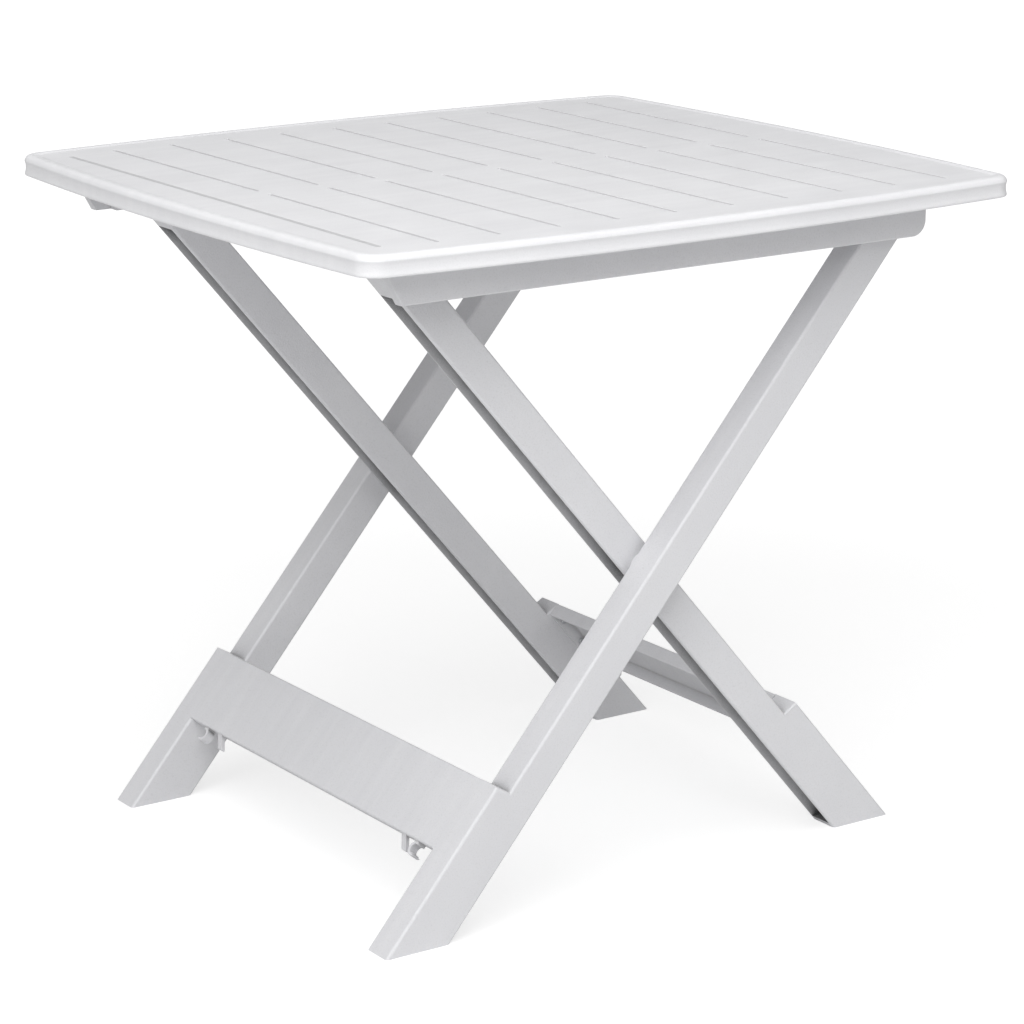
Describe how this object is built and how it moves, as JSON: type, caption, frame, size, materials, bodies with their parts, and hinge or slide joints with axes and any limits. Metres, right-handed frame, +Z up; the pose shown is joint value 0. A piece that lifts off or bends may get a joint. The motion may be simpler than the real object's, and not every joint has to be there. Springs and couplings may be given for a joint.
{
  "type": "folding picnic table",
  "caption": "Folding picnic table moulded in white plastic: slatted-look top with a rounded rim on two crossed leg frames joined by cross panels, that close like scissors.",
  "frame": {"origin": "on the floor, under the middle of the tabletop", "axes": "+X along the tabletop's longer side towards the hinged end, +Y towards the rear long side, +Z up"},
  "size_m": [0.7898, 0.7198, 0.7],
  "materials": {
    "top_plastic": "fine moulded grain, satin",
    "frame_plastic": "fine moulded grain, satin",
    "pin_plastic": "smooth",
    "screw_steel": "zinc plated"
  },
  "bodies": {
    "tabletop": {"tabletop": "top_plastic", "front_rail": "frame_plastic", "rear_rail": "frame_plastic", "rail_screws": "screw_steel"},
    "outer_frame": {"front_outer_leg": "frame_plastic", "rear_outer_leg": "frame_plastic", "outer_cross_panel": "frame_plastic", "outer_panel_screws": "screw_steel", "front_hinge_pin": "pin_plastic", "rear_hinge_pin": "pin_plastic", "hinge_washers": "pin_plastic", "front_pivot_pin": "pin_plastic", "rear_pivot_pin": "pin_plastic", "pivot_washers": "pin_plastic"},
    "inner_frame": {"front_inner_leg": "frame_plastic", "rear_inner_leg": "frame_plastic", "inner_cross_panel": "frame_plastic", "inner_panel_screws": "screw_steel", "front_slide_pin": "pin_plastic", "rear_slide_pin": "pin_plastic"}
  },
  "joints": [
    {"name": "top_hinge", "type": "hinge", "parent": "tabletop", "child": "outer_frame", "pos_m": [0.2857, 0, 0.66], "axis": [0, 1, 0], "range_deg": [-38, 0]},
    {"name": "scissor_pivot", "type": "hinge", "parent": "outer_frame", "child": "inner_frame", "pos_m": [0.003, 0, 0.329], "axis": [0, -1, 0], "range_deg": [-76, 0]}
  ],
  "couplings": [
    {"joint": "scissor_pivot", "follows": "top_hinge", "ratio": 2}
  ]
}
